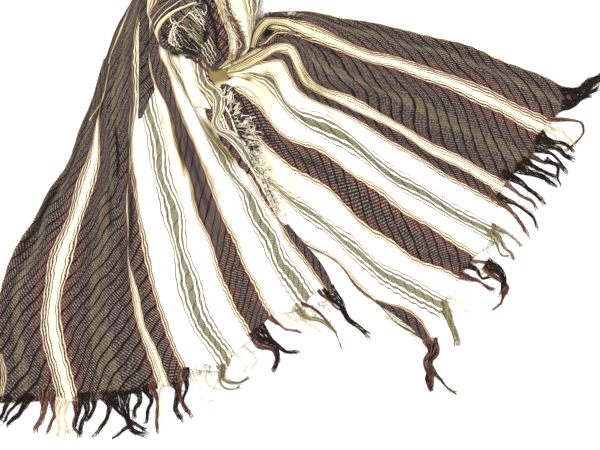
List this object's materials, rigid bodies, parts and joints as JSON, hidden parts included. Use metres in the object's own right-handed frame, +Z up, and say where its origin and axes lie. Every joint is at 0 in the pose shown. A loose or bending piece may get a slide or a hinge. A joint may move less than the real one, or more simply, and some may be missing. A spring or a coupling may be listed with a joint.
{
  "type": "knotted striped scarf laid flat",
  "caption": "Long striped cotton scarf tied in one loose knot and laid flat, its two fringed ends fanned out and its closed neck loop above the knot",
  "frame": {"origin": "on the floor plane under the knot, on the flat underside of the cloth that wraps it", "axes": "+Z up from the surface that the scarf lies on, +X towards the right end, +Y from the knot towards the neck loop"},
  "size_m": [1.2229, 1.1022, 0.0517],
  "materials": {
    "striped_cloth": "soft crinkled cotton",
    "fringe_yarn": "matte twisted yarn"
  },
  "bodies": {
    "root": {"left_end": "striped_cloth", "right_end": "striped_cloth", "knot_wrap": "striped_cloth", "neck_loop": "striped_cloth", "left_fringe": "fringe_yarn", "right_fringe": "fringe_yarn"}
  },
  "joints": []
}
